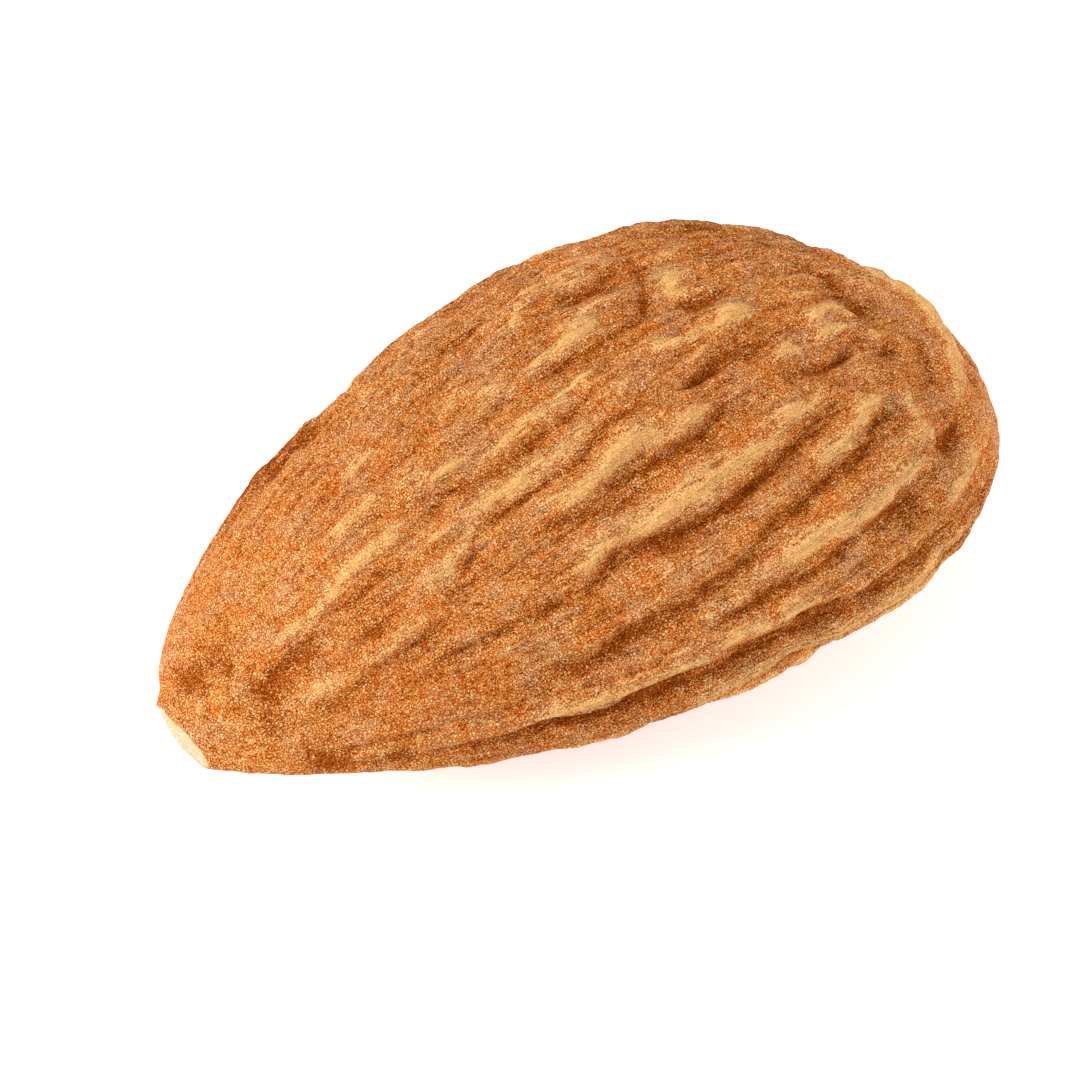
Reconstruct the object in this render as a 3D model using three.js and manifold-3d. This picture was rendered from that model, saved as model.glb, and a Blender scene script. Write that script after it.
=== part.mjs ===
// One shelled almond kernel in its brown skin, lying on a broad face. Millimetres, +Z up.
// The pointed tip is towards -X and the round end towards +X. The tip's very end is broken off
// in a small upright face, and the underside has a small flat spot where the kernel rests.
// The origin is under the middle of the kernel's box, on the surface that it rests on.
import * as THREE from "three";
import { mergeVertices } from "three/addons/utils/BufferGeometryUtils.js";
import Module from "manifold-3d";

// Driving dimensions, in millimetres and degrees
const LENGTH = 25; // tip to round end, before the tip is broken
const FULL_SIDE = 8.9; // half-width of the fuller side, +Y of the line from tip to end
const FLAT_SIDE = 5.45; // half-width of the flatter side, -Y of that line
const THICKNESS = 8.4;
const CHIP_DEPTH = 1; // length lost from the tip
const CHIP_TURN = 16; // the broken face looks this far round from -X towards -Y
const REST_DEPTH = 0.15; // how far the flat spot is set into the underside

// How the kernel narrows towards its ends: 1 is a straight cone, 0.5 a full round
const OUTLINE_TIP = 0.73;
const OUTLINE_END = 0.445;
const THICKNESS_TIP = 0.85;
const THICKNESS_END = 0.5;
const RIM_KEENNESS = 1.2; // 1 is an elliptic cross-section, and more brings the rim to a keel

// Facets of the skin
const STEPS_AROUND = 72;
const STEPS_ALONG = 48;

const SKIN_COLOUR = 0xb9733a;
const SKIN_ROUGHNESS = 0.7;

const wasm = await Module();
wasm.setup();

// An egg-shaped profile from tip (share 0) to round end (share 1), 1 high where it is fullest.
function egg(share, tip, end) {
  const fullest = tip / (tip + end);
  return (share / fullest) ** tip * ((1 - share) / (1 - fullest)) ** end;
}

// The point of the skin at a share of the length and an angle round the cross-section.
function skinPoint(share, angle) {
  const outline = egg(share, OUTLINE_TIP, OUTLINE_END);
  const midLine = (outline * (FULL_SIDE - FLAT_SIDE)) / 2;
  const halfWidth = (outline * (FULL_SIDE + FLAT_SIDE)) / 2;
  const halfThickness = (THICKNESS / 2) * egg(share, THICKNESS_TIP, THICKNESS_END);
  const rise = Math.sin(angle);
  return new THREE.Vector3(
    LENGTH * (share - 0.5),
    midLine + halfWidth * Math.cos(angle),
    halfThickness * Math.sign(rise) * Math.abs(rise) ** RIM_KEENNESS,
  );
}

// A ball with its poles at the kernel's two ends, drawn out to the kernel's form.
function wholeKernel() {
  const ball = new THREE.SphereGeometry(1, STEPS_AROUND, STEPS_ALONG).rotateZ(Math.PI / 2);
  const points = ball.getAttribute("position");
  for (let i = 0; i < points.count; i++) {
    const share = THREE.MathUtils.clamp((points.getX(i) + 1) / 2, 0, 1);
    const angle = Math.atan2(points.getZ(i), points.getY(i));
    points.setXYZ(i, ...skinPoint(share, angle));
  }
  return ball;
}

// A block whose +X face is the broken face at the tip.
function chipBlock() {
  const size = LENGTH;
  return new THREE.BoxGeometry(size, size, size)
    .translate(-size / 2, 0, 0)
    .rotateZ(THREE.MathUtils.degToRad(CHIP_TURN))
    .translate(CHIP_DEPTH - LENGTH / 2, 0, 0);
}

// A block whose top face is the flat spot that the kernel rests on.
function restBlock() {
  const size = 2 * LENGTH;
  return new THREE.BoxGeometry(size, size, size).translate(0, 0, REST_DEPTH - (THICKNESS + size) / 2);
}

function solidOf(geometry) {
  const bare = geometry.clone();
  bare.deleteAttribute("normal");
  bare.deleteAttribute("uv");
  const merged = mergeVertices(bare);
  return new wasm.Manifold(
    new wasm.Mesh({
      numProp: 3,
      vertProperties: new Float32Array(merged.getAttribute("position").array),
      triVerts: new Uint32Array(merged.index.array),
    }),
  );
}

function geometryOf(solid) {
  const { vertProperties, triVerts } = solid.getMesh();
  const geometry = new THREE.BufferGeometry();
  geometry.setAttribute("position", new THREE.BufferAttribute(vertProperties, 3));
  geometry.setIndex(new THREE.BufferAttribute(triVerts, 1));
  geometry.computeVertexNormals();
  geometry.computeBoundingBox();
  return geometry;
}

function almondKernel() {
  const solid = solidOf(wholeKernel()).subtract(solidOf(chipBlock())).subtract(solidOf(restBlock()));
  const skin = new THREE.MeshStandardMaterial({ color: SKIN_COLOUR, roughness: SKIN_ROUGHNESS, metalness: 0 });
  const kernel = new THREE.Mesh(geometryOf(solid), skin);
  kernel.name = "almond_kernel";
  const { min, max } = kernel.geometry.boundingBox;
  kernel.position.set(-(min.x + max.x) / 2, -(min.y + max.y) / 2, -min.z);
  return kernel;
}

const almond = new THREE.Group();
almond.add(almondKernel());

export default almond;
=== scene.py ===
# A shelled almond kernel in its brown skin, on a pale floor in soft studio light.
import math

import bpy
from mathutils import Matrix, Vector
from mathutils.bvhtree import BVHTree


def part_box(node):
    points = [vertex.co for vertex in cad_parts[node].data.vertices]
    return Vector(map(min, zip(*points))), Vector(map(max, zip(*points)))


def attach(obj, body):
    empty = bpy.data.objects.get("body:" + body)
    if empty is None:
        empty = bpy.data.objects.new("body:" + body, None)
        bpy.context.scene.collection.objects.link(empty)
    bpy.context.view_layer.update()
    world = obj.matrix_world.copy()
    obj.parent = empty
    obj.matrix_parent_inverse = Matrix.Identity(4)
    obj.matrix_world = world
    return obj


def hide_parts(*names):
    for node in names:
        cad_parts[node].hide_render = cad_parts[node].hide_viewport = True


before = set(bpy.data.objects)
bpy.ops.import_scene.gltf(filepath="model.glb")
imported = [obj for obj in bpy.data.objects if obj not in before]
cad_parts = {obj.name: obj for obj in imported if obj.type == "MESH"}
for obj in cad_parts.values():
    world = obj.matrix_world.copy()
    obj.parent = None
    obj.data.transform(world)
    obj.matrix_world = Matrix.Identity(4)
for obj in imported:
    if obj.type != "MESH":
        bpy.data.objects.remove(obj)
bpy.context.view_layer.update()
mm = 0.001  # sizes below are in millimetres


def linear(hexColour):
    channels = [int(hexColour[i:i + 2], 16) / 255 for i in (1, 3, 5)]
    return (*[c / 12.92 if c <= 0.04045 else ((c + 0.055) / 1.055) ** 2.4 for c in channels], 1)


# names and settings that many nodes share
maths, vectors, ranges = "ShaderNodeMath", "ShaderNodeVectorMath", "ShaderNodeMapRange"
named, store = "GeometryNodeInputNamedAttribute", "GeometryNodeStoreNamedAttribute"
smooth = {"interpolation_type": "SMOOTHSTEP"}
asNumber, asVector = {"data_type": "FLOAT"}, {"data_type": "FLOAT_VECTOR"}
times, timesPlus = {"operation": "MULTIPLY"}, {"operation": "MULTIPLY_ADD"}
plus, minus, over = {"operation": "ADD"}, {"operation": "SUBTRACT"}, {"operation": "DIVIDE"}
raised, scaled = {"operation": "POWER"}, {"operation": "SCALE"}


# adds one node: its settings by name, then a value or a link for each input by name or number
def put(tree, kind, settings=None, inputs=None, out=0):
    node = tree.nodes.new(kind)
    for name, value in (settings or {}).items():
        setattr(node, name, value)
    for name, value in (inputs or {}).items():
        if isinstance(value, bpy.types.NodeSocket):
            tree.links.new(value, node.inputs[name])
        else:
            node.inputs[name].default_value = value
    return node.outputs[out] if node.outputs else node


# a geometry tree with named inputs, listed by type, and the sockets that give them
def newTree(name, sockets):
    tree = bpy.data.node_groups.new(name, "GeometryNodeTree")
    tree.interface.new_socket("Geometry", in_out="INPUT", socket_type="NodeSocketGeometry")
    for socketType, socketNames in sockets.items():
        for socketName in socketNames:
            tree.interface.new_socket(socketName, in_out="INPUT", socket_type="NodeSocket" + socketType)
    tree.interface.new_socket("Geometry", in_out="OUTPUT", socket_type="NodeSocketGeometry")
    given = tree.nodes.new("NodeGroupInput").outputs
    return tree, {socket.name: socket for socket in given}


def endTree(tree, geometry, material):
    whole = put(tree, "GeometryNodeRealizeInstances", {}, {"Geometry": geometry})
    dressed = put(tree, "GeometryNodeSetMaterial", {}, {"Geometry": whole, "Material": material})
    put(tree, "NodeGroupOutput", {}, {"Geometry": dressed})


# what a piece's dictionary gives each socket: "Rim Depth" gets its rimDepth
def valuesFor(piece, socketNames, unit=1.0):
    return {name: piece[name[0].lower() + name[1:].replace(" ", "")] * unit for name in socketNames}


# runs a tree on a mesh, and gives the result as a plain mesh
def runTree(tree, mesh, values):
    worked = bpy.data.objects.new(tree.name, mesh)
    bpy.context.scene.collection.objects.link(worked)
    modifier = worked.modifiers.new(tree.name, "NODES")
    modifier.node_group = tree
    for item in tree.interface.items_tree:
        if item.in_out == "INPUT" and item.name in values:
            modifier[item.identifier] = values[item.name]
    depsgraph = bpy.context.evaluated_depsgraph_get()
    made = bpy.data.meshes.new_from_object(worked.evaluated_get(depsgraph), depsgraph=depsgraph)
    worked.modifiers.remove(modifier)
    bpy.data.objects.remove(worked)
    return made


# The kernel's form, as the CAD model has it, with the chip and a dent beside it drawn closer to the photo
kernel = {
    "length": 25, "fullSide": 8.9, "flatSide": 5.45, "thickness": 8.4,
    "outlineTip": 0.73, "outlineEnd": 0.445,  # 1 narrows like a cone, 0.5 like a full round
    "thicknessTip": 0.85, "thicknessEnd": 0.5,
    "rimKeenness": 1.2,  # above 1 the rim comes to a keel
    "chipDepth": 1.05, "chipTurn": 12, "chipLean": 4,  # degrees towards -Y and upwards
    "chipRoughness": 0.3, "chipCrumb": 0.9, "chipDome": 0.15, "chipRadius": 1.5,
    "tipDent": 0.36, "tipDentReach": 1.4, "tipDentAt": (-11.7, 1.3, 0.2), "tipDentWay": (0.85, -0.53, 0),
    "restDepth": 0.15,
    "steps": (208, 120, 73),  # quads along, across and through, about 0.085 mm each
}
low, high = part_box("almond_kernel")
formOrigin = Vector((
    high.x - kernel["length"] / 2 * mm,
    high.y - kernel["fullSide"] * mm,
    low.z + (kernel["thickness"] / 2 - kernel["restDepth"]) * mm,
))
chipTurn, chipLean = math.radians(kernel["chipTurn"]), math.radians(kernel["chipLean"])
chipFacing = Vector((-math.cos(chipTurn), -math.sin(chipTurn), math.tan(chipLean))).normalized()

# The camera's place, fitted to the outline in the photo
view = {
    "lens": 100, "sensor": 36, "pixels": 1080,
    "distance": 80.08, "azimuth": -26.82, "elevation": 60,
    "aside": -0.908, "above": 0.447,  # of the form's middle
    "nearest": 1, "farthest": 10000,
}
azimuth, elevation = math.radians(view["azimuth"]), math.radians(view["elevation"])
towards = Vector((
    math.sin(azimuth) * math.cos(elevation),
    -math.cos(azimuth) * math.cos(elevation),
    math.sin(elevation),
))
rightward = Vector((math.cos(azimuth), math.sin(azimuth), 0))
upward = towards.cross(rightward)
eye = formOrigin + (towards * view["distance"] + rightward * view["aside"] + upward * view["above"]) * mm


def addCamera():
    camera = bpy.data.cameras.new("camera")
    camera.lens = view["lens"]
    camera.sensor_width = view["sensor"]
    camera.clip_start = view["nearest"] * mm
    camera.clip_end = view["farthest"] * mm
    holder = bpy.data.objects.new("camera", camera)
    turn = Matrix((rightward, upward, towards)).transposed()
    holder.matrix_world = Matrix.Translation(eye) @ turn.to_4x4()
    bpy.context.scene.collection.objects.link(holder)
    bpy.context.scene.camera = holder
    print("camera:", view["distance"], "mm away, looking down at", view["elevation"], "degrees")


# the way from the camera through a pixel of the photo
def throughPixel(pixel):
    focal = view["lens"] / view["sensor"] * view["pixels"]
    across, down = pixel[0] - view["pixels"] / 2, pixel[1] - view["pixels"] / 2
    return (rightward * across - upward * down - towards * focal).normalized()


kernelSizes = (
    "Length", "Full Side", "Flat Side", "Thickness", "Chip Depth", "Chip Roughness", "Chip Crumb",
    "Chip Dome", "Chip Radius", "Tip Dent Reach", "Rest Depth",
)
kernelShares = ("Outline Tip", "Outline End", "Thickness Tip", "Thickness End", "Rim Keenness")
stepCounts = ("Steps Along", "Steps Across", "Steps Through")


# Tree for the bare form: a cube of quads blown to a ball, drawn out to the kernel by the egg rule
def kernelForm():
    tree, give = newTree("kernelForm", {
        "Float": kernelSizes + kernelShares, "Int": stepCounts,
        "Vector": ("Chip Facing", "Tip Dent", "Tip Dent At", "Origin"), "Material": ("Skin",),
    })
    cube = put(tree, "GeometryNodeMeshCube", {}, {
        "Size": (2, 2, 2), "Vertices X": give["Steps Along"], "Vertices Y": give["Steps Across"],
        "Vertices Z": give["Steps Through"],
    })
    corner = put(tree, "GeometryNodeInputPosition")
    spread = put(tree, vectors, scaled, {0: corner, "Scale": math.pi / 4})
    evened = put(tree, vectors, {"operation": "TANGENT"}, {0: spread})  # quads of nearly one size
    ball = put(tree, vectors, {"operation": "NORMALIZE"}, {0: evened})
    ballX = put(tree, "ShaderNodeSeparateXYZ", {}, {0: ball})
    share = put(tree, maths, {"operation": "MULTIPLY_ADD", "use_clamp": True}, {0: ballX, 1: 0.5, 2: 0.5})
    section = put(tree, vectors, times, {0: ball, 1: (0, 1, 1)})
    section = put(tree, vectors, {"operation": "NORMALIZE"}, {0: section})
    parts = put(tree, "ShaderNodeSeparateXYZ", {}, {0: section}).node.outputs
    sideways, rise = parts["Y"], parts["Z"]

    eggs = {}
    for name in ("Outline", "Thickness"):
        tip, end = give[name + " Tip"], give[name + " End"]
        both = put(tree, maths, plus, {0: tip, 1: end})
        fullest = put(tree, maths, over, {0: tip, 1: both})
        grown = put(tree, maths, over, {0: share, 1: fullest})
        grown = put(tree, maths, raised, {0: grown, 1: tip})
        left = put(tree, maths, minus, {0: 1, 1: share})
        most = put(tree, maths, minus, {0: 1, 1: fullest})
        left = put(tree, maths, over, {0: left, 1: most})
        left = put(tree, maths, raised, {0: left, 1: end})
        eggs[name] = put(tree, maths, times, {0: grown, 1: left})

    along = put(tree, maths, minus, {0: share, 1: 0.5})
    along = put(tree, maths, times, {0: along, 1: give["Length"]})
    wide = put(tree, maths, plus, {0: give["Full Side"], 1: give["Flat Side"]})
    fuller = put(tree, maths, minus, {0: give["Full Side"], 1: give["Flat Side"]})
    across = put(tree, maths, timesPlus, {0: sideways, 1: wide, 2: fuller})
    across = put(tree, maths, times, {0: across, 1: eggs["Outline"]})
    across = put(tree, maths, times, {0: across, 1: 0.5})
    steep = put(tree, maths, {"operation": "ABSOLUTE"}, {0: rise})
    steep = put(tree, maths, raised, {0: steep, 1: give["Rim Keenness"]})
    sign = put(tree, maths, {"operation": "SIGN"}, {0: rise})
    up = put(tree, maths, times, {0: steep, 1: sign})
    up = put(tree, maths, times, {0: up, 1: eggs["Thickness"]})
    up = put(tree, maths, times, {0: up, 1: give["Thickness"]})
    up = put(tree, maths, times, {0: up, 1: 0.5})
    whole = put(tree, "ShaderNodeCombineXYZ", {}, {"X": along, "Y": across, "Z": up})

    # a shallow dent beside the tip
    dented = put(tree, vectors, {"operation": "DISTANCE"}, {0: whole, 1: give["Tip Dent At"]}, out=1)
    dented = put(tree, maths, over, {0: dented, 1: give["Tip Dent Reach"]})
    dented = put(tree, maths, raised, {0: dented, 1: 2})
    dented = put(tree, maths, times, {0: dented, 1: -1})
    dented = put(tree, maths, {"operation": "EXPONENT"}, {0: dented})
    dented = put(tree, vectors, scaled, {0: give["Tip Dent"], "Scale": dented})
    whole = put(tree, vectors, plus, {0: whole, 1: dented})

    # the chip: what stands past the broken face, which is slightly domed, is pushed back onto it
    halfLength = put(tree, maths, times, {0: give["Length"], 1: -0.5})
    chipX = put(tree, maths, plus, {0: halfLength, 1: give["Chip Depth"]})
    chipPoint = put(tree, "ShaderNodeCombineXYZ", {}, {"X": chipX})
    fromChip = put(tree, vectors, minus, {0: whole, 1: chipPoint})
    past = put(tree, vectors, {"operation": "DOT_PRODUCT"}, {0: fromChip, 1: give["Chip Facing"]}, out=1)
    tight = put(tree, maths, over, {0: 1, 1: give["Chip Crumb"]})
    crumbs = put(tree, "ShaderNodeTexNoise", {}, {"Vector": whole, "Scale": tight, "Detail": 4})
    crumbs = put(tree, maths, minus, {0: crumbs, 1: 0.5})
    past = put(tree, maths, timesPlus, {0: crumbs, 1: give["Chip Roughness"], 2: past})
    beside = put(tree, vectors, {"operation": "PROJECT"}, {0: fromChip, 1: give["Chip Facing"]})
    beside = put(tree, vectors, {"operation": "DISTANCE"}, {0: fromChip, 1: beside}, out=1)
    dome = put(tree, ranges, smooth, {
        "Value": beside, "From Max": give["Chip Radius"], "To Min": give["Chip Dome"], "To Max": 0,
    })
    past = put(tree, maths, minus, {0: past, 1: dome})
    lost = put(tree, maths, {"operation": "MAXIMUM"}, {0: past, 1: 0})
    lost = put(tree, vectors, scaled, {0: give["Chip Facing"], "Scale": lost})
    chipped = put(tree, vectors, minus, {0: whole, 1: lost})

    # the flat spot under it
    halfThick = put(tree, maths, times, {0: give["Thickness"], 1: -0.5})
    floor = put(tree, maths, plus, {0: halfThick, 1: give["Rest Depth"]})
    resting = put(tree, "ShaderNodeCombineXYZ", {}, {"X": -1, "Y": -1, "Z": floor})
    rested = put(tree, vectors, {"operation": "MAXIMUM"}, {0: chipped, 1: resting})
    placed = put(tree, vectors, plus, {0: rested, 1: give["Origin"]})

    shaped = cube
    for name, value in (("past", past), ("rise", rise), ("sideways", sideways), ("share", share)):
        shaped = put(tree, store, asNumber, {"Geometry": shaped, "Name": name, "Value": value})
    shaped = put(tree, "GeometryNodeSetPosition", {}, {"Geometry": shaped, "Position": placed})
    endTree(tree, shaped, give["Skin"])
    return tree


def formMesh(skin):
    values = valuesFor(kernel, kernelSizes, mm) | valuesFor(kernel, kernelShares)
    for socket, steps in zip(stepCounts, kernel["steps"]):
        values[socket] = steps + 1  # points, one more than quads
    values.update({
        "Chip Facing": chipFacing, "Origin": formOrigin, "Skin": skin,
        "Tip Dent": Vector(kernel["tipDentWay"]) * kernel["tipDent"] * mm,
        "Tip Dent At": Vector(kernel["tipDentAt"]) * mm,
    })
    return runTree(kernelForm(), bpy.data.meshes.new("seed"), values)


# The skin's relief. Each line is (height, reach, tone) and points in pixels of the photo, mostly from the
# tip's side to the round end's. Height and reach are in mm. Tone is 1 for a rubbed pale crest and -1 for
# a dark furrow, its darkness painted shade. A line without tone is a swell or dip of the outline, and
# lies just past it.
skinLines = {
    "longRidge": ((0.24, 0.40, 1.20), [
        (577, 589), (587, 571), (603, 549), (631, 536), (659, 520), (686, 500), (719, 478), (745, 459),
        (773, 437), (796, 413), (812, 404), (818, 394)]),
    "longFurrow": ((-0.26, 0.26, -1.00), [
        (585, 597), (600, 575), (621, 549), (647, 541), (672, 535), (698, 523), (722, 510), (743, 495),
        (763, 476), (783, 457), (799, 441), (812, 424), (830, 410), (838, 397)]),
    "longFurrowTail": ((-0.12, 0.25, -0.70), [
        (413, 671), (444, 656), (477, 643), (513, 625), (544, 610), (585, 597)]),
    "secondRidge": ((0.22, 0.38, 1.20), [
        (529, 515), (555, 501), (585, 488), (606, 473), (613, 460), (630, 446), (655, 437), (678, 428),
        (695, 415), (708, 405), (713, 399)]),
    "secondFurrow": ((-0.20, 0.24, -1.00), [
        (601, 487), (627, 477), (650, 464), (668, 454), (686, 444), (704, 430), (717, 417), (730, 398)]),
    "secondFurrowTail": ((-0.14, 0.22, -0.80), [
        (530, 532), (560, 524), (593, 513), (620, 500), (640, 489)]),
    "thirdRidge": ((0.13, 0.34, 1.10), [
        (413, 594), (428, 585), (444, 572), (454, 559), (467, 543), (480, 518), (500, 499), (520, 485),
        (545, 467), (570, 447), (591, 424), (606, 409), (620, 396), (630, 383), (645, 376)]),
    "thirdFurrow": ((-0.12, 0.24, -0.80), [
        (440, 600), (460, 580), (470, 557), (480, 527), (508, 507), (530, 495), (550, 478), (580, 459),
        (596, 439), (607, 423), (625, 411), (640, 400), (655, 384)]),
    "fourthRidge": ((0.10, 0.34, 0.95), [
        (380, 503), (406, 488), (440, 472), (475, 460), (500, 447), (521, 425), (545, 411), (570, 391),
        (585, 376), (596, 368)]),
    "fourthFurrow": ((-0.10, 0.25, -0.60), [
        (395, 507), (444, 491), (493, 470), (519, 450), (555, 425), (586, 403), (603, 389)]),
    "fifthRidge": ((0.10, 0.30, 0.90), [(519, 377), (545, 359), (565, 346), (582, 334), (597, 322)]),
    "fifthRidgeTop": ((0.11, 0.32, 0.90), [
        (548, 334), (562, 330), (576, 322), (590, 309), (604, 300), (616, 292)]),
    "fifthHollow": ((-0.18, 0.24, -0.80), [(557, 302), (570, 295), (584, 288), (603, 276), (618, 261)]),
    "fifthFurrow": ((-0.12, 0.25, -0.60), [
        (530, 385), (560, 365), (585, 349), (605, 338), (630, 322), (648, 312)]),
    "fifthStreak": ((0.07, 0.25, 0.60), [(560, 350), (575, 340), (590, 330), (597, 322)]),
    "upperStreak": ((0.06, 0.22, 0.70), [(508, 330), (520, 318), (535, 305)]),
    "sixthRidge": ((0.10, 0.30, 0.80), [
        (502, 325), (515, 313), (526, 304), (538, 292), (555, 286), (573, 284), (590, 277)]),
    "seventhRidge": ((0.10, 0.30, 0.90), [(545, 286), (565, 275), (586, 263), (603, 252), (612, 246)]),
    "topHollow": ((-0.12, 0.28, -0.90), [(646, 314), (644, 298), (642, 282), (636, 264), (625, 248)]),
    "shoulderRidge": ((0.07, 0.33, 0.80), [
        (437, 418), (447, 406), (460, 394), (478, 395), (494, 388), (508, 389)]),
    "shoulderHollow": ((-0.06, 0.50, -0.35), [(406, 393), (434, 359), (465, 334), (483, 321)]),
    "farStreak": ((0.04, 0.25, 0.70), [(413, 336), (425, 333), (437, 327)]),
    "fourthRidgeTail": ((0.08, 0.36, 0.85), [(325, 543), (346, 524), (361, 515), (372, 505), (387, 492)]),
    "fourthFurrowTail": ((-0.07, 0.20, -0.50), [(351, 538), (361, 525), (387, 508), (400, 500)]),
    "farRidgeTail": ((0.06, 0.34, 0.85), [(336, 482), (346, 474), (359, 464), (367, 453), (379, 446)]),
    "tipRidge": ((0.13, 0.44, 1.00), [
        (259, 669), (274, 646), (290, 633), (307, 622), (320, 610), (333, 595), (345, 579), (358, 566),
        (372, 551), (387, 543), (400, 531), (423, 527)]),
    "tipFurrow": ((-0.12, 0.26, -0.90), [
        (269, 680), (282, 664), (297, 649), (310, 637), (325, 618), (348, 601), (361, 594), (379, 573),
        (400, 565), (421, 554)]),
    "lowTipRidge": ((0.12, 0.38, 0.95), [
        (295, 695), (310, 692), (336, 682), (356, 674), (377, 661), (397, 643), (420, 632)]),
    "lowTipFurrow": ((-0.12, 0.22, -0.90), [
        (305, 718), (325, 706), (343, 697), (357, 687), (377, 668), (403, 651), (426, 638), (451, 621)]),
    "lowFlankRidge": ((0.05, 0.25, 0.20), [(420, 658), (438, 649), (462, 636), (490, 622)]),
    "endRidge": ((0.26, 0.36, 1.30), [
        (774, 570), (794, 559), (807, 549), (825, 537), (841, 526), (860, 514), (878, 503), (892, 490),
        (904, 478), (917, 467), (932, 464)]),
    "endFurrow": ((-0.25, 0.27, -1.00), [
        (704, 637), (725, 624), (750, 611), (769, 598), (787, 585), (805, 577), (825, 564), (846, 545),
        (866, 530), (884, 516), (899, 503), (903, 488), (922, 473)]),
    "middleFurrow": ((-0.18, 0.26, -0.85), [
        (523, 697), (559, 677), (593, 664), (624, 638), (642, 628), (660, 617), (683, 607), (701, 592),
        (721, 579), (742, 562), (758, 547), (770, 529), (784, 516), (800, 506), (820, 487), (841, 469),
        (859, 453)]),
    "middleBank": ((0.10, 0.35, 0.25), [
        (611, 625), (631, 615), (652, 607), (673, 594), (696, 583), (719, 568), (733, 552)]),
    "middleRidge": ((0.12, 0.45, 0.20), [
        (640, 590), (666, 578), (691, 559), (712, 541), (733, 526), (758, 508), (784, 485), (800, 470)]),
    "shortRidge": ((0.24, 0.32, 1.25), [
        (814, 470), (825, 460), (840, 447), (850, 431), (863, 418), (869, 407), (879, 397), (878, 385)]),
    "shortFurrow": ((-0.17, 0.22, -0.70), [
        (830, 487), (851, 469), (866, 453), (873, 431), (884, 413), (889, 395)]),
    "lowRidge": ((0.10, 0.28, 0.25), [
        (704, 652), (722, 639), (743, 626), (763, 613), (784, 603), (805, 592), (820, 578), (851, 565)]),
    "rimRidge": ((0.15, 0.30, 0.90), [
        (513, 728), (545, 717), (580, 710), (606, 702), (629, 692), (647, 684), (670, 674), (691, 667),
        (715, 655), (738, 642), (756, 631), (779, 623), (794, 613), (815, 603), (830, 598), (846, 588),
        (858, 580)]),
    "rimFurrow": ((-0.20, 0.20, -1.00), [
        (485, 749), (523, 733), (545, 726), (590, 722), (621, 707), (647, 694), (678, 682), (703, 674),
        (734, 658), (768, 644), (794, 631), (807, 623), (825, 611), (846, 601), (866, 597)]),
    "rimSeam": ((-0.13, 0.12, -1.00), [
        (600, 731), (655, 701), (677, 691), (702, 683), (733, 672), (758, 660), (784, 649), (815, 629),
        (846, 617)]),
    "endKnob": ((0.21, 0.22, 1.20), [(912, 440), (920, 434), (928, 431), (933, 443)]),
    "endKnobFurrow": ((-0.14, 0.18, -0.60), [(935, 424), (940, 447), (930, 457)]),
    "endWallFurrow": ((-0.25, 0.20, -0.90), [(966, 408), (958, 426), (950, 442), (940, 452)]),
    "endRimRidge": ((0.21, 0.25, 1.40), [
        (838, 256), (860, 268), (879, 278), (907, 299), (927, 318), (942, 338), (950, 356), (955, 380),
        (957, 402)]),
    "endRimFurrow": ((-0.22, 0.16, -0.90), [(926, 309), (940, 322), (955, 343), (968, 358), (975, 368)]),
    "endWallRidge": ((0.15, 0.20, 1.40), [(944, 502), (952, 491), (962, 477), (970, 463), (977, 447)]),
    "lowRimRidge": ((0.11, 0.18, 1.10), [
        (868, 615), (900, 593), (922, 573), (942, 551), (962, 527), (978, 505)]),
    "lowRimFurrow": ((-0.10, 0.14, -0.80), [(872, 590), (898, 572), (920, 557), (938, 541), (952, 524)]),
    "endFaceRidge": ((0.12, 0.20, 0.90), [(905, 378), (907, 396), (911, 412), (918, 428)]),
    "endValley": ((-0.12, 0.28, -0.60), [(912, 330), (925, 350), (934, 372), (940, 395)]),
    "endHollow": ((-0.08, 0.30, -0.70), [(896, 508), (912, 502), (928, 498)]),
    "endRimPit": ((-0.10, 0.20, -1.00), [(962, 370), (972, 380), (980, 390)]),
    "archRidge": ((0.23, 0.20, 1.20), [
        (806, 326), (813, 321), (824, 314), (836, 313), (847, 317), (852, 325)]),
    "lowArchRidge": ((0.19, 0.18, 1.10), [(813, 341), (822, 336), (838, 331), (848, 331)]),
    "archFurrow": ((-0.28, 0.20, -1.00), [(800, 368), (815, 364), (834, 360), (846, 352), (853, 342)]),
    "archPatch": ((0.13, 0.22, 1.20), [(771, 360), (780, 352), (790, 347), (801, 353)]),
    "crownRidge": ((0.20, 0.28, 1.20), [(683, 347), (700, 334), (721, 326), (738, 315), (753, 309)]),
    "crownBank": ((0.10, 0.24, 1.00), [(662, 356), (672, 347), (684, 340)]),
    "crownUnder": ((0.13, 0.22, 0.70), [(679, 369), (700, 352), (714, 342)]),
    "crownFurrow": ((-0.22, 0.24, -1.00), [
        (680, 390), (699, 376), (716, 360), (737, 347), (758, 339), (775, 331)]),
    "crownStreak": ((0.07, 0.25, 0.50), [(655, 352), (670, 341)]),
    "humpPatch": ((0.07, 0.55, 1.10), [(662, 296), (668, 284), (674, 272), (682, 260)]),
    "humpShade": ((-0.06, 0.20, -0.60), [(652, 247), (660, 243)]),
    "humpCrease": ((-0.18, 0.15, -1.10), [(672, 306), (686, 301), (700, 297), (716, 290), (730, 283)]),
    "browRidge": ((0.21, 0.24, 1.20), [(786, 304), (797, 299), (811, 297), (820, 300)]),
    "browFurrow": ((-0.22, 0.22, -0.80), [(806, 264), (826, 273), (842, 288), (858, 304), (872, 318)]),
    "browBand": ((0.10, 0.40, 0.40), [(838, 266), (862, 282), (888, 300), (908, 318), (922, 338)]),
    "browKnob": ((0.13, 0.18, 0.90), [(870, 327), (874, 334), (878, 341)]),
    "browPit": ((-0.25, 0.16, -1.10), [(874, 350), (888, 346), (905, 346)]),
    "farRimFurrow": ((-0.16, 0.34, -1.40), [
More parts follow.
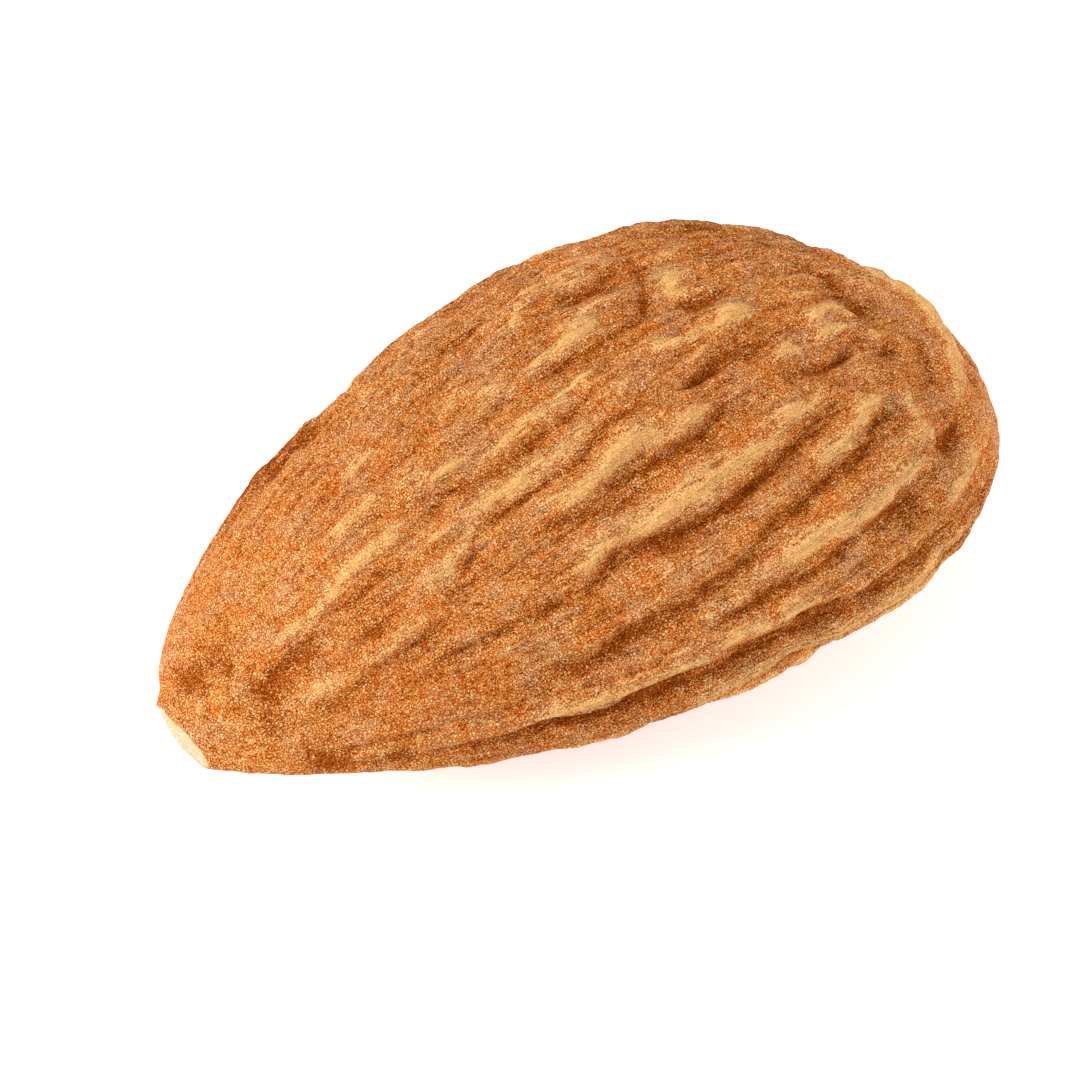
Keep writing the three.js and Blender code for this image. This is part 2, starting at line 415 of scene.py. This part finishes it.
        (318, 424), (310, 430), (295, 443), (279, 461), (264, 479), (248, 497), (234, 515), (224, 532)]),
    "farRimBand": ((0.03, 0.80, -1.50), [(312, 424), (290, 438), (262, 468), (238, 498), (218, 528)]),
    "rimBand": ((0.02, 0.50, 0.90), [
        (670, 713), (720, 695), (770, 675), (820, 648), (860, 628), (900, 602), (930, 572), (950, 548)]),
    "lowPatch": ((-0.08, 0.25, -0.70), [(866, 570), (880, 588)]),
    # dents and stains by the tip and under the rim
    "tipPitA": ((-0.07, 0.32, -2.60), [(188, 681), (193, 677)]),
    "tipPitB": ((-0.07, 0.34, -2.60), [(270, 686), (273, 682)]),
    "tipPitC": ((-0.05, 0.28, -2.20), [(305, 660), (309, 657)]),
    "flankPit": ((-0.04, 0.25, -2.40), [(373, 632), (378, 630)]),
    "tipStain": ((-0.02, 1.10, -0.85), [(196, 660), (212, 655), (226, 668), (236, 686)]),
    "lowTipStain": ((-0.02, 0.90, -0.85), [(250, 735), (272, 722), (288, 735)]),
    "rimPitA": ((-0.05, 0.36, -2.40), [(326, 764), (345, 761)]),
    "rimPitB": ((-0.05, 0.28, -2.20), [(392, 758), (402, 756)]),
    "topStain": ((-0.02, 0.42, -3.10), [(678, 226), (700, 226), (722, 230)]),
    "topPits": ((-0.04, 0.28, -1.30), [(758, 236), (770, 242), (783, 249)]),
    # broad swells and dips of the outline
    "farNotch": ((-0.58, 0.75, 0.00), [(344, 366), (334, 378), (322, 391), (308, 404), (294, 420)]),
    "farSwell": ((0.13, 0.90, 0.00), [(266, 460), (256, 470), (246, 483)]),
    "tipSwell": ((0.10, 0.90, 0.00), [(150, 650), (147, 670), (150, 690)]),
    "topSwell": ((0.13, 0.90, 0.00), [(590, 236), (625, 226), (660, 220), (700, 220)]),
    "topStep": ((-0.60, 0.60, 0.00), [(797, 228), (812, 234), (828, 240)]),
    "topDip": ((-0.60, 1.00, 0.00), [(852, 242), (872, 252), (890, 264), (904, 276), (918, 288)]),
    "endSwell": ((0.09, 1.00, 0.00), [(966, 334), (982, 356), (990, 376)]),
    "lowEndDip": ((-0.14, 0.60, 0.00), [(958, 547), (940, 566), (920, 588)]),
    "rimDip": ((-0.30, 0.60, 0.00), [
        (705, 718), (735, 708), (760, 698), (785, 687), (808, 675), (832, 660), (850, 648)]),
    "rimKnob": ((-0.12, 0.35, 0.00), [(796, 676), (808, 670), (820, 664)]),
}

relief = {
    "depth": 1.45,  # of the traced ridges and furrows, over the heights given with them
    "wander": 0.09, "wanderSize": 0.6,  # how far the lines stray, and over what length
    "ridgeSlope": 1.9, "furrowSlope": 1.8,  # how much longer the gentle side of a ridge or furrow is
    "ridgeKeenness": 1.25, "furrowKeenness": 1.05,  # 2 is a round back, 1 a sharp crease
    "sideBlend": 0.15,  # to either side of a line, where its two slopes run together
    "toneReach": 0.7,  # share of a line's reach that its colour takes
    "fade": 0.25, "fadeFrom": 0.25,  # share of a line where it fades at either end, and the least of it
    "lineStep": 0.06,
    "seek": 14,  # mm before and behind the form where skin is sought for a point past the outline
    "wrinkleHeight": 0.19, "wrinkleWidth": 0.9, "wrinkleLength": 5, "wrinkleRound": 5.5,
    "wrinkleLean": 1.3,  # degrees round the kernel for each mm along it
    "wrinkleTip": 0.03, "wrinkleStart": 0.36,  # shares of the length where they begin and are full
    "wrinkleGather": 0.86, "wrinkleEnd": 0.98,  # and where they run together and die out
    "folds": ((1, 1), (2.4, 0.75)),  # fineness and weight of the broad wrinkles and the fine ones
    "swellHeight": 0.10, "swellSize": 3.2,
    "pebbleHeight": 0.055, "pebbleSize": 0.32,
    "uneven": 0.22, "unevenSize": 1.1,  # how much ridges and furrows rise and sink along their run
    "rubbedHeight": 0.09, "rubbedRounds": 45,  # skin this far above its surroundings is rubbed pale, and skin this far below gets painted shade
    "lineTone": 0.8, "rubbedTone": 0.24, "seamTone": -0.6,  # what each of these adds to the tone; the seam's darkening is painted shade
    "rimDepth": 0.07, "rimAt": 0.22, "rimWidth": 0.06,  # the seam beside the keel, by share of the way up
    "rimFrom": 0.15, "rimFull": 0.5,  # shares of the length where the seam begins and is full
    "chipCover": 0.35,  # beside the broken face, where the relief sinks away
}


# where a pixel of the photo lies on the form; one just past the outline takes the nearest skin
def onForm(tree, pixel):
    way = throughPixel(pixel)
    hit = tree.ray_cast(eye, way)[0]
    if hit:
        return hit
    steps = range(-relief["seek"], relief["seek"] + 1)
    spots = [eye + way * (view["distance"] + step) * mm for step in steps]
    return min((tree.find_nearest(spot) for spot in spots), key=lambda near: near[3])[0]


# the lines as chains of edges on the upper face, and mirrored onto the underside
def lineMesh(form):
    tree = BVHTree.FromPolygons([v.co for v in form.vertices], [p.vertices for p in form.polygons])
    points, edges, numbers = [], [], {"lift": [], "left": [], "right": [], "tone": [], "line": []}
    for lineNumber, ((lift, reach, tone), pixels) in enumerate(skinLines.values()):
        upper = [onForm(tree, pixel) for pixel in pixels]
        lower = [Vector((p.x, p.y, 2 * formOrigin.z - p.z)) for p in upper]
        lift *= relief["depth"] if tone else 1
        left = reach * (relief["ridgeSlope"] if tone > 0 else 1)
        right = reach * (relief["furrowSlope"] if tone < 0 else 1)
        for chain in (upper, lower):
            for place, point in enumerate(chain):
                if place:
                    edges.append((len(points) - 1, len(points)))
                fromEnd = min(place, len(chain) - 1 - place) / (len(chain) - 1)
                full = 1 if len(chain) == 2 else min(1, relief["fadeFrom"] + fromEnd / relief["fade"])
                points.append(point)
                numbers["lift"].append(lift * full * mm)
                numbers["left"].append(left * mm)
                numbers["right"].append(right * mm)
                numbers["tone"].append(tone * full)
                numbers["line"].append(lineNumber)
    mesh = bpy.data.meshes.new("skinLines")
    mesh.from_pydata(points, edges, [])
    for name, values in numbers.items():
        kind = "INT" if name == "line" else "FLOAT"
        mesh.attributes.new(name, kind, "POINT").data.foreach_set("value", values)
    print("skin lines:", len(skinLines), "with", len(points), "points")
    return mesh


reliefSizes = (
    "Line Step", "Side Blend", "Wander", "Wander Size", "Wrinkle Height", "Wrinkle Width",
    "Wrinkle Length", "Wrinkle Round", "Swell Height", "Swell Size", "Pebble Height", "Pebble Size",
    "Uneven Size", "Rubbed Height", "Rim Depth", "Chip Cover",
)
reliefShares = (
    "Ridge Keenness", "Furrow Keenness", "Tone Reach", "Wrinkle Tip", "Wrinkle Start", "Wrinkle Gather",
    "Wrinkle End", "Uneven", "Line Tone", "Rubbed Tone", "Seam Tone", "Rim At", "Rim Width", "Rim From",
    "Rim Full",
)


# Tree for the relief: every line lifts or sinks the skin beside it, then wrinkles and pebbles roughen it
def skinRelief():
    tree, give = newTree("skinRelief", {
        "Float": reliefSizes + reliefShares + ("Wrinkle Lean",), "Int": ("Line Count", "Rubbed Rounds"),
        "Object": ("Lines",), "Material": ("Skin",),
    })
    place = put(tree, "GeometryNodeInputPosition")
    facing = put(tree, "GeometryNodeInputNormal")

    # dense points along every line
    lines = put(tree, "GeometryNodeObjectInfo", {}, {"Object": give["Lines"]}, out=4)
    lines = put(tree, "GeometryNodeMeshToCurve", {}, {"Mesh": lines})
    lines = put(tree, "GeometryNodeCurveSplineType", {"spline_type": "CATMULL_ROM"}, {"Curve": lines})
    dots = put(tree, "GeometryNodeCurveToPoints", {"mode": "LENGTH"},
               {"Curve": lines, "Length": give["Line Step"]})
    lines = put(tree, store, asVector,
                {"Geometry": dots, "Name": "run", "Value": dots.node.outputs["Tangent"]})

    # where the skin looks for its nearest line: its own place, strayed a little
    tight = put(tree, maths, over, {0: 1, 1: give["Wander Size"]})
    stray = put(tree, "ShaderNodeTexNoise", {}, {"Vector": place, "Scale": tight, "Detail": 2}, out=1)
    stray = put(tree, vectors, minus, {0: stray, 1: (0.5, 0.5, 0.5)})
    stray = put(tree, vectors, scaled, {0: stray, "Scale": give["Wander"]})
    stray = put(tree, vectors, plus, {0: place, 1: stray})
    skin = put(tree, store, asVector, {"Geometry": give["Geometry"], "Name": "strayed", "Value": stray})
    for name in ("lift", "tone"):
        skin = put(tree, store, asNumber, {"Geometry": skin, "Name": name, "Value": 0.0})

    # one turn for each line
    begin = tree.nodes.new("GeometryNodeRepeatInput")
    finish = tree.nodes.new("GeometryNodeRepeatOutput")
    begin.pair_with_output(finish)
    tree.links.new(give["Line Count"], begin.inputs["Iterations"])
    tree.links.new(skin, begin.inputs["Geometry"])
    lineName = put(tree, named, {"data_type": "INT"}, {"Name": "line"})
    mine = put(tree, "FunctionNodeCompare", {"data_type": "INT", "operation": "EQUAL"},
               {2: lineName, 3: begin.outputs["Iteration"]})
    one = put(tree, "GeometryNodeSeparateGeometry", {"domain": "POINT"},
              {"Geometry": lines, "Selection": mine})
    seek = put(tree, named, asVector, {"Name": "strayed"})
    nearest = put(tree, "GeometryNodeSampleNearest", {"domain": "POINT"},
                  {"Geometry": one, "Sample Position": seek})
    found = {}
    for name in ("lift", "left", "right", "tone", "run"):
        kind = "FLOAT_VECTOR" if name == "run" else "FLOAT"
        value = put(tree, named, {"data_type": kind}, {"Name": name})
        found[name] = put(tree, "GeometryNodeSampleIndex", {"data_type": kind},
                          {"Geometry": one, "Value": value, "Index": nearest})
    at = put(tree, "GeometryNodeSampleIndex", asVector,
             {"Geometry": one, "Value": place, "Index": nearest})
    off = put(tree, vectors, minus, {0: seek, 1: at})
    away = put(tree, vectors, {"operation": "LENGTH"}, {0: off}, out=1)
    leftward = put(tree, vectors, {"operation": "CROSS_PRODUCT"}, {0: facing, 1: found["run"]})
    side = put(tree, vectors, {"operation": "DOT_PRODUCT"}, {0: leftward, 1: off}, out=1)
    blend = put(tree, maths, times, {0: give["Side Blend"], 1: -1})
    side = put(tree, ranges, smooth, {"Value": side, "From Min": blend, "From Max": give["Side Blend"]})
    reach = put(tree, "ShaderNodeMix", {}, {0: side, 2: found["right"], 3: found["left"]})
    closest = put(tree, maths, {"operation": "MINIMUM"}, {0: found["right"], 1: found["left"]})
    closest = put(tree, maths, times, {0: closest, 1: give["Tone Reach"]})
    sunken = put(tree, maths, {"operation": "LESS_THAN"}, {0: found["tone"], 1: 0})
    keen = put(tree, "ShaderNodeMix", {},
               {0: sunken, 2: give["Ridge Keenness"], 3: give["Furrow Keenness"]})
    body = begin.outputs["Geometry"]
    for name, width in (("lift", reach), ("tone", closest)):  # colour keeps closer to the line than shape
        far = put(tree, maths, over, {0: away, 1: width})
        far = put(tree, maths, raised, {0: far, 1: keen})
        bell = put(tree, maths, times, {0: far, 1: -1})
        bell = put(tree, maths, {"operation": "EXPONENT"}, {0: bell})
        before = put(tree, named, asNumber, {"Name": name})
        after = put(tree, maths, timesPlus, {0: bell, 1: found[name], 2: before})
        body = put(tree, store, asNumber, {"Geometry": body, "Name": name, "Value": after})
    tree.links.new(body, finish.inputs["Geometry"])
    skin = finish.outputs["Geometry"]

    # the run of the wrinkles, with the ridges from tip to end
    rise = put(tree, named, asNumber, {"Name": "rise"})
    sideways = put(tree, named, asNumber, {"Name": "sideways"})
    along = put(tree, "ShaderNodeSeparateXYZ", {}, {0: place})
    lean = put(tree, maths, times, {0: along, 1: rise})
    lean = put(tree, maths, times, {0: lean, 1: give["Wrinkle Lean"]})
    ring = put(tree, "ShaderNodeCombineXYZ", {}, {"Y": sideways, "Z": rise})
    ring = put(tree, "ShaderNodeVectorRotate", {"rotation_type": "X_AXIS"},
               {"Vector": ring, "Angle": lean})
    ring = put(tree, vectors, scaled, {0: ring, "Scale": give["Wrinkle Round"]})
    run = put(tree, "ShaderNodeCombineXYZ", {}, {"X": along})
    run = put(tree, vectors, plus, {0: run, 1: ring})
    pitch = put(tree, "ShaderNodeCombineXYZ", {},
                {"X": give["Wrinkle Length"], "Y": give["Wrinkle Width"], "Z": give["Wrinkle Width"]})
    run = put(tree, vectors, over, {0: run, 1: pitch})
    skin = put(tree, store, asVector, {"Geometry": skin, "Name": "flow", "Value": run})

    # ridges and furrows rise and sink along their run
    tight = put(tree, maths, over, {0: 1, 1: give["Uneven Size"]})
    uneven = put(tree, "ShaderNodeTexNoise", {}, {"Vector": place, "Scale": tight, "Detail": 1})
    most = put(tree, maths, plus, {0: 1, 1: give["Uneven"]})
    least = put(tree, maths, minus, {0: 1, 1: give["Uneven"]})
    uneven = put(tree, ranges, {},
                 {"Value": uneven, "From Min": 0.3, "From Max": 0.7, "To Min": least, "To Max": most})
    rough = put(tree, named, asNumber, {"Name": "lift"})
    rough = put(tree, maths, times, {0: rough, 1: uneven})
    tone = put(tree, named, asNumber, {"Name": "tone"})
    tone = put(tree, maths, times, {0: tone, 1: uneven})

    # wrinkles, broad and fine, with a crease where two meet, low at the tip, the keel and the round end
    share = put(tree, named, asNumber, {"Name": "share"})
    tall = put(tree, ranges, smooth,
               {"Value": share, "From Min": give["Wrinkle Tip"], "From Max": give["Wrinkle Start"],
                "To Min": 0.05, "To Max": 1})
    gathered = put(tree, ranges, smooth,
                   {"Value": share, "From Min": give["Wrinkle Gather"], "From Max": give["Wrinkle End"],
                    "To Min": 1, "To Max": 0.1})
    tall = put(tree, maths, times, {0: tall, 1: gathered})
    tall = put(tree, maths, times, {0: tall, 1: give["Wrinkle Height"]})
    keel = put(tree, maths, {"operation": "ABSOLUTE"}, {0: rise})
    keel = put(tree, ranges, smooth,
               {"Value": keel, "From Min": 0.05, "From Max": 0.4, "To Min": 0.3, "To Max": 1})
    tall = put(tree, maths, times, {0: tall, 1: keel})
    for fineness, weight in relief["folds"]:
        fold = put(tree, "ShaderNodeTexNoise", {}, {"Vector": run, "Scale": fineness, "Detail": 1})
        fold = put(tree, maths, minus, {0: fold, 1: 0.5})
        fold = put(tree, maths, {"operation": "ABSOLUTE"}, {0: fold})
        fold = put(tree, ranges, {},
                   {"Value": fold, "From Max": 0.2, "To Min": -0.6 * weight, "To Max": 0.4 * weight})
        rough = put(tree, maths, timesPlus, {0: fold, 1: tall, 2: rough})
    for height, size in (("Swell Height", "Swell Size"), ("Pebble Height", "Pebble Size")):
        tight = put(tree, maths, over, {0: 1, 1: give[size]})
        noise = put(tree, "ShaderNodeTexNoise", {}, {"Vector": place, "Scale": tight, "Detail": 2})
        noise = put(tree, maths, minus, {0: noise, 1: 0.5})
        doubled = put(tree, maths, times, {0: noise, 1: 2})
        rough = put(tree, maths, timesPlus, {0: doubled, 1: give[height], 2: rough})

    # high skin is rubbed pale; low skin is darkened with painted shade
    around = put(tree, "GeometryNodeBlurAttribute", asNumber,
                 {"Value": rough, "Iterations": give["Rubbed Rounds"]})
    proud = put(tree, maths, minus, {0: rough, 1: around})
    proud = put(tree, maths, over, {0: proud, 1: give["Rubbed Height"]})
    tone = put(tree, maths, times, {0: tone, 1: give["Line Tone"]})
    tone = put(tree, maths, timesPlus, {0: proud, 1: give["Rubbed Tone"], 2: tone})

    # a seam on either side of the keel, sunk, and darkened in colour with painted shade
    beside = put(tree, maths, {"operation": "ABSOLUTE"}, {0: rise})
    beside = put(tree, maths, minus, {0: beside, 1: give["Rim At"]})
    beside = put(tree, maths, over, {0: beside, 1: give["Rim Width"]})
    beside = put(tree, maths, times, {0: beside, 1: beside})
    beside = put(tree, maths, times, {0: beside, 1: -1})
    seam = put(tree, maths, {"operation": "EXPONENT"}, {0: beside})
    grown = put(tree, ranges, smooth,
                {"Value": share, "From Min": give["Rim From"], "From Max": give["Rim Full"]})
    seam = put(tree, maths, times, {0: seam, 1: grown})
    sunk = put(tree, maths, times, {0: seam, 1: give["Rim Depth"]})
    rough = put(tree, maths, minus, {0: rough, 1: sunk})
    tone = put(tree, maths, timesPlus, {0: seam, 1: give["Seam Tone"], 2: tone})
    skin = put(tree, store, asNumber, {"Geometry": skin, "Name": "tone", "Value": tone})

    # the broken face keeps its own shape
    past = put(tree, named, asNumber, {"Name": "past"})
    cover = put(tree, maths, times, {0: give["Chip Cover"], 1: -1})
    covered = put(tree, ranges, smooth,
                  {"Value": past, "From Min": cover, "From Max": 0, "To Min": 1, "To Max": 0})
    rough = put(tree, maths, times, {0: rough, 1: covered})
    offset = put(tree, vectors, scaled, {0: facing, "Scale": rough})
    skin = put(tree, "GeometryNodeSetPosition", {}, {"Geometry": skin, "Offset": offset})
    resting = put(tree, vectors, {"operation": "MAXIMUM"}, {0: place, 1: (-1, -1, 0)})  # on the floor
    skin = put(tree, "GeometryNodeSetPosition", {}, {"Geometry": skin, "Position": resting})
    skin = put(tree, "GeometryNodeSetShadeSmooth", {}, {"Geometry": skin})
    endTree(tree, skin, give["Skin"])
    return tree


def addKernel(skin):
    form = formMesh(skin)
    print("kernel form:", len(form.polygons), "quads")
    lines = bpy.data.objects.new("skinLines", lineMesh(form))
    bpy.context.scene.collection.objects.link(lines)
    values = valuesFor(relief, reliefSizes, mm) | valuesFor(relief, reliefShares)
    values.update({
        "Lines": lines, "Line Count": len(skinLines), "Rubbed Rounds": relief["rubbedRounds"],
        "Wrinkle Lean": math.radians(relief["wrinkleLean"]) / mm, "Skin": skin,
    })
    mesh = runTree(skinRelief(), form, values)
    bpy.data.objects.remove(lines)
    mesh.name = "wrinkled_kernel"
    kernelObject = bpy.data.objects.new("wrinkled_kernel", mesh)
    bpy.context.scene.collection.objects.link(kernelObject)
    print("kernel with relief:", sum(len(p.vertices) - 2 for p in mesh.polygons), "triangles")
    return kernelObject


# Dried seed coat: a papery brown skin of stone cells, grown on the kernel. It gives the eye a matt
# orange-brown grit of grains, rubbed smooth and straw-coloured on the crests, and dark with painted shade
# in the furrows.
seedCoat = {
    "grainPitch": 0.085, "grainDome": 0.22,  # mm, and share of a grain from its edge to its flat top
    "gritSize": 0.04, "sandSize": 0.22, "patchSize": 2.4, "blotchSize": 0.5, "dustSize": 0.9,
    "details": {"grit": 1, "sand": 3, "patch": 2, "blotch": 4, "dust": 5},
    # the grit's height, from 0 in the gaps to 1 on the tops
    "ground": -1.17, "heights": {"dome": 0.4, "grit": 1.9, "sand": 0.65, "patch": 0.25},
    "creaseFineness": 3.4, "creaseWidth": 0.12,  # of the skin's wrinkles, and half across
    "creaseTip": (0.1, 0.5), "creaseEnd": (0.98, 0.86),  # shares of the length, none to full
    "breaks": {"blotch": 1.5, "grit": 0.6, "crease": 0.6},  # how far each moves the edges of the tone
    "pale": (0.2, 0.7), "shadedAndStained": (-0.12, -0.9),  # tones where the crest colour and the painted shade of the furrows begin and are full
    "dust": (0.4, 0.7), "dustMost": 0.65, "dustOnCrests": 0.18,  # less of it lies in hollows
    "glintPitch": 0.32, "glintAcross": (0.06, 0.1), "glintMost": 0.6,  # painted highlights on grains made to look as if they catch the light
    "skinEnds": (-0.02, 0.05), "fleshFull": (0.02, 0.14),  # mm past the broken face
    # colours from the gaps between grains to the grain tops
    "grain": ["#9C3400", "#B4500A", "#C66E24", "#D2883E", "#E0AA66", "#ECCE9A"],
    "dusty": ["#9A4E22", "#AE6838", "#C0824C", "#CC9664", "#DAB286", "#EAD2B0"],
    "crest": ["#BE7C3C", "#CA8E4E", "#D49C5A", "#DBA766", "#E2B478", "#EAC694"],
    # painted shade of the furrows, hollows and seam, which dark stains and dents share
    "furrow": ["#5E2000", "#823200", "#9A4402", "#AA560A", "#BE7226", "#D8A058"],
    "flesh": ["#AC8A60", "#BCA078", "#C8B090", "#CEB99A", "#D4C1A4", "#DCCBB0"],
    "fleshEdge": "#B98648", "glint": "#F6EAD8",
    "grainHeight": 0.024, "creaseHeight": 0.045, "rubbedGrain": 0.3,  # mm, and the share left on crests
    "roughness": 0.62, "ior": 1.45, "specular": 0.07,
}


def seedCoatMaterial():
    material = bpy.data.materials.new("almond seed coat")
    material.use_nodes = True
    tree = material.node_tree
    tree.nodes.clear()
    rgb = {"data_type": "RGBA", "clamp_factor": True}
    place = put(tree, "ShaderNodeTexCoord", {}, {}, out=3)
    tone = put(tree, "ShaderNodeAttribute", {"attribute_name": "tone"}, {}, out=2)
    past = put(tree, "ShaderNodeAttribute", {"attribute_name": "past"}, {}, out=2)

    # grit: domed grains, finer grit over them, sand and broad patches under them
    cells = put(tree, "ShaderNodeTexVoronoi", {"feature": "DISTANCE_TO_EDGE"},
                {"Vector": place, "Scale": 1 / (seedCoat["grainPitch"] * mm)})
    domed = put(tree, ranges, smooth, {"Value": cells, "From Max": seedCoat["grainDome"]})
    layers = {"dome": domed}
    for name, detail in seedCoat["details"].items():
        tight = 1 / (seedCoat[name + "Size"] * mm)
        layers[name] = put(tree, "ShaderNodeTexNoise", {},
                           {"Vector": place, "Scale": tight, "Detail": detail})
    height = seedCoat["ground"]
    for name, weight in seedCoat["heights"].items():
        height = put(tree, maths, timesPlus, {0: layers[name], 1: weight, 2: height})

    # fine wrinkles along the flow of the ridges, too fine for the mesh
    flow = put(tree, "ShaderNodeAttribute", {"attribute_name": "flow"}, {}, out=1)
    crease = put(tree, "ShaderNodeTexNoise", {},
                 {"Vector": flow, "Scale": seedCoat["creaseFineness"], "Detail": 4, "Distortion": 1.2})
    crease = put(tree, maths, minus, {0: crease, 1: 0.5})
    crease = put(tree, maths, {"operation": "ABSOLUTE"}, {0: crease})
    crease = put(tree, ranges, {},
                 {"Value": crease, "From Max": seedCoat["creaseWidth"], "To Min": -0.5, "To Max": 0.2})
    share = put(tree, "ShaderNodeAttribute", {"attribute_name": "share"}, {}, out=2)
    for none, whole in (seedCoat["creaseTip"], seedCoat["creaseEnd"]):
        full = put(tree, ranges, smooth, {"Value": share, "From Min": none, "From Max": whole})
        crease = put(tree, maths, times, {0: crease, 1: full})

    # the lines' tone, its edges broken by blotches and grit
    blotch = put(tree, maths, minus, {0: layers["blotch"], 1: 0.5})
    grit = put(tree, maths, minus, {0: height, 1: 0.5})
    broken = tone
    for name, value in (("blotch", blotch), ("grit", grit), ("crease", crease)):
        broken = put(tree, maths, timesPlus, {0: value, 1: seedCoat["breaks"][name], 2: broken})
    starts, full = seedCoat["pale"]
    pale = put(tree, ranges, {}, {"Value": broken, "From Min": starts, "From Max": full})
    # mask of the painted shade in furrows, hollows and the seam, and of dark stains and dents
    starts, full = seedCoat["shadedAndStained"]
    shadedAndStained = put(tree, ranges, {}, {"Value": broken, "From Min": starts, "From Max": full})

    ramps = {}
    for name in ("grain", "dusty", "crest", "furrow", "flesh"):
        ramps[name] = put(tree, "ShaderNodeValToRGB", {}, {"Fac": height})
        stops = ramps[name].node.color_ramp.elements
        stops.remove(stops[-1])
        for number, hexColour in enumerate(seedCoat[name]):
            stop = stops.new(number / (len(seedCoat[name]) - 1)) if number else stops[0]
            stop.color = linear(hexColour)

    # dust on the grains, the painted shade of the furrows and the crests over them, then painted
    # highlights on grains that glint
    dust = put(tree, maths, timesPlus, {0: tone, 1: seedCoat["dustOnCrests"], 2: layers["dust"]})
    starts, full = seedCoat["dust"]
    dust = put(tree, ranges, smooth,
               {"Value": dust, "From Min": starts, "From Max": full, "To Max": seedCoat["dustMost"]})
    colour = put(tree, "ShaderNodeMix", rgb, {0: dust, 6: ramps["grain"], 7: ramps["dusty"]}, out=2)
    colour = put(tree, "ShaderNodeMix", rgb, {0: shadedAndStained, 6: colour, 7: ramps["furrow"]}, out=2)
    colour = put(tree, "ShaderNodeMix", rgb, {0: pale, 6: colour, 7: ramps["crest"]}, out=2)
    # painted highlights: pale specks mixed into the colour
    glints = put(tree, "ShaderNodeTexVoronoi", {"feature": "F1"},
                 {"Vector": place, "Scale": 1 / (seedCoat["glintPitch"] * mm)})
    full, ends = seedCoat["glintAcross"]
    glints = put(tree, ranges, {}, {
        "Value": glints, "From Min": full, "From Max": ends, "To Min": seedCoat["glintMost"], "To Max": 0,
    })
    colour = put(tree, "ShaderNodeMix", rgb, {0: glints, 6: colour, 7: linear(seedCoat["glint"])}, out=2)

    # cream flesh where the tip is broken, browner at the skin's edge
    starts, full = seedCoat["skinEnds"]
    bare = put(tree, ranges, smooth, {"Value": past, "From Min": starts * mm, "From Max": full * mm})
    starts, full = seedCoat["fleshFull"]
    inner = put(tree, ranges, smooth, {"Value": past, "From Min": starts * mm, "From Max": full * mm})
    flesh = put(tree, "ShaderNodeMix", rgb,
                {0: inner, 6: linear(seedCoat["fleshEdge"]), 7: ramps["flesh"]}, out=2)
    colour = put(tree, "ShaderNodeMix", rgb, {0: bare, 6: colour, 7: flesh}, out=2)

    smoothed = put(tree, maths, {"operation": "MAXIMUM"}, {0: pale, 1: bare})
    worn = put(tree, ranges, {}, {"Value": smoothed, "To Min": 1, "To Max": seedCoat["rubbedGrain"]})
    folded = put(tree, "ShaderNodeBump", {},
                 {"Distance": seedCoat["creaseHeight"] * mm, "Height": crease})
    bump = put(tree, "ShaderNodeBump", {}, {
        "Strength": worn, "Distance": seedCoat["grainHeight"] * mm, "Height": height, "Normal": folded,
    })
    surface = put(tree, "ShaderNodeBsdfPrincipled", {}, {
        "Base Color": colour, "Roughness": seedCoat["roughness"], "IOR": seedCoat["ior"],
        "Specular IOR Level": seedCoat["specular"], "Normal": bump,
    })
    put(tree, "ShaderNodeOutputMaterial", {}, {"Surface": surface})
    print("seed coat:", len(tree.nodes), "nodes")
    return material


# Studio: a pale card floor, one large soft light behind and to the left, a fill, and white all round
studio = {
    "floor": "#F4F3F1", "floorSize": 4000, "floorRoughness": 0.9,
    "floorGlow": 0.4,  # the floor glows, painted light that thins the shadow
    "world": 0.66,
    "lamps": {  # place and size in mm, power in W
        "keyLight": ((-152, 54, 115), 110, 0.43),
        "fillLight": ((150, -110, 90), 200, 0.26),
    },
}


def addStudio():
    half = studio["floorSize"] / 2 * mm
    mesh = bpy.data.meshes.new("floor")
    corners = [(-half, -half, 0), (half, -half, 0), (half, half, 0), (-half, half, 0)]
    mesh.from_pydata(corners, [], [(0, 1, 2, 3)])
    card = bpy.data.materials.new("white card")  # matt uncoated paper board
    card.use_nodes = True
    shader = card.node_tree.nodes["Principled BSDF"]
    shader.inputs["Base Color"].default_value = linear(studio["floor"])
    shader.inputs["Roughness"].default_value = studio["floorRoughness"]
    # the card glows: painted light that thins the shadow
    shader.inputs["Emission Color"].default_value = (1, 1, 1, 1)
    shader.inputs["Emission Strength"].default_value = studio["floorGlow"]
    mesh.materials.append(card)
    floor = bpy.data.objects.new("floor", mesh)
    bpy.context.scene.collection.objects.link(floor)
    for name, (spot, size, power) in studio["lamps"].items():
        lamp = bpy.data.lights.new(name, "AREA")
        lamp.size = size * mm
        lamp.energy = power
        holder = bpy.data.objects.new(name, lamp)
        holder.location = Vector(spot) * mm
        holder.rotation_euler = (-Vector(spot)).to_track_quat("-Z", "Y").to_euler()
        bpy.context.scene.collection.objects.link(holder)
    world = bpy.data.worlds.new("studio")
    bpy.context.scene.world = world
    world.use_nodes = True
    sky = world.node_tree.nodes["Background"]
    sky.inputs["Color"].default_value = (1, 1, 1, 1)
    sky.inputs["Strength"].default_value = studio["world"]
    bpy.context.scene.view_settings.view_transform = "Standard"
    print("studio:", len(studio["lamps"]), "lamps over a", studio["floorSize"], "mm floor")


addCamera()
addStudio()
almond = addKernel(seedCoatMaterial())
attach(almond, "root")
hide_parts("almond_kernel")
